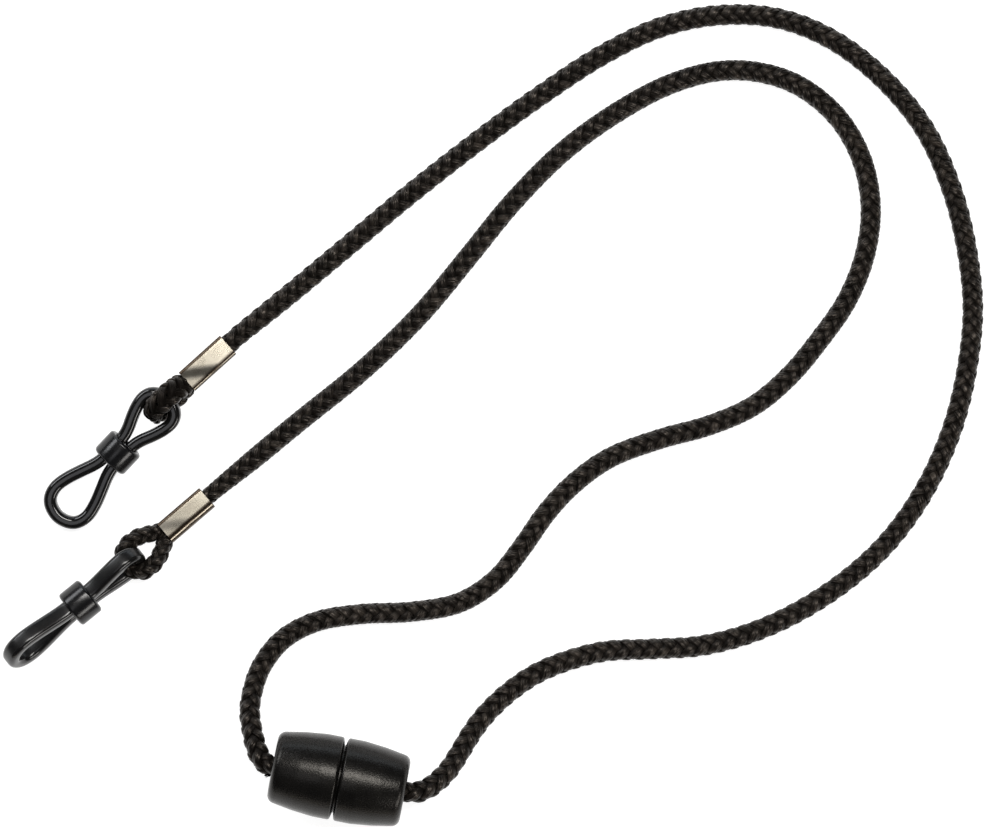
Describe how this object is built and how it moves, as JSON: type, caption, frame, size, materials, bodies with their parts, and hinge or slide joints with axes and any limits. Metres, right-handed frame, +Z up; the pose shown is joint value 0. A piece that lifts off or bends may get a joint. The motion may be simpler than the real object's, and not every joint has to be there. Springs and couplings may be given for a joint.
{
  "type": "eyeglass retainer strap",
  "caption": "Black braided eyeglass retainer strap with a breakaway barrel clasp, folded metal ferrules and rubber temple loops with slide beads, laid out flat.",
  "frame": {"origin": "on the surface that the strap lies on, under the middle of its fittings' bounding box", "axes": "+Z up from that surface, +Y along the longer side of the fittings' box, from the clasp towards the plug side's ferrule, +X towards the cords' far bends"},
  "size_m": [0.1628, 0.1363, 0.014],
  "materials": {
    "clasp_plastic": "matte black moulded plastic",
    "braided_cord": "braided yarn, black with a brown cast",
    "ferrule_metal": "folded plated sheet, pale champagne nickel",
    "loop_rubber": "glossy black moulded rubber",
    "bead_plastic": "satin black moulded plastic"
  },
  "bodies": {
    "socket_side": {"clasp_socket": "clasp_plastic", "cord_knot_socket_side": "braided_cord", "cord_run_socket_side": "braided_cord", "cord_eye_socket_side": "braided_cord", "ferrule_socket_side": "ferrule_metal"},
    "plug_side": {"clasp_plug": "clasp_plastic", "cord_knot_plug_side": "braided_cord", "cord_run_plug_side": "braided_cord", "cord_eye_plug_side": "braided_cord", "ferrule_plug_side": "ferrule_metal"},
    "loop_on_plug_side": {"temple_loop_plug_side": "loop_rubber"},
    "loop_on_socket_side": {"temple_loop_socket_side": "loop_rubber"},
    "bead_on_plug_side": {"slide_bead_plug_side": "bead_plastic"},
    "bead_on_socket_side": {"slide_bead_socket_side": "bead_plastic"}
  },
  "joints": [
    {"name": "clasp_pull_apart", "type": "slide", "parent": "socket_side", "child": "plug_side", "axis": [0.9816, -0.1908, 0], "range_m": [0, 0.006]},
    {"name": "loop_swing_plug_side", "type": "hinge", "parent": "plug_side", "child": "loop_on_plug_side", "pos_m": [-0.00939, 0.02758, 0.0046], "axis": [0, 0, 1], "range_deg": [-40, 1]},
    {"name": "loop_swing_socket_side", "type": "hinge", "parent": "socket_side", "child": "loop_on_socket_side", "pos_m": [-0.01163, 0.00401, 0.00405], "axis": [0, 0, 1], "range_deg": [-8, 30]},
    {"name": "bead_slide_plug_side", "type": "slide", "parent": "loop_on_plug_side", "child": "bead_on_plug_side", "axis": [-0.682, -0.7212, -0.1219], "range_m": [-0.003, 0.005], "deforming": ["temple_loop_plug_side"]},
    {"name": "bead_slide_socket_side", "type": "slide", "parent": "loop_on_socket_side", "child": "bead_on_socket_side", "axis": [-0.7747, -0.6318, 0.0244], "range_m": [-0.003, 0.005], "deforming": ["temple_loop_socket_side"]}
  ]
}
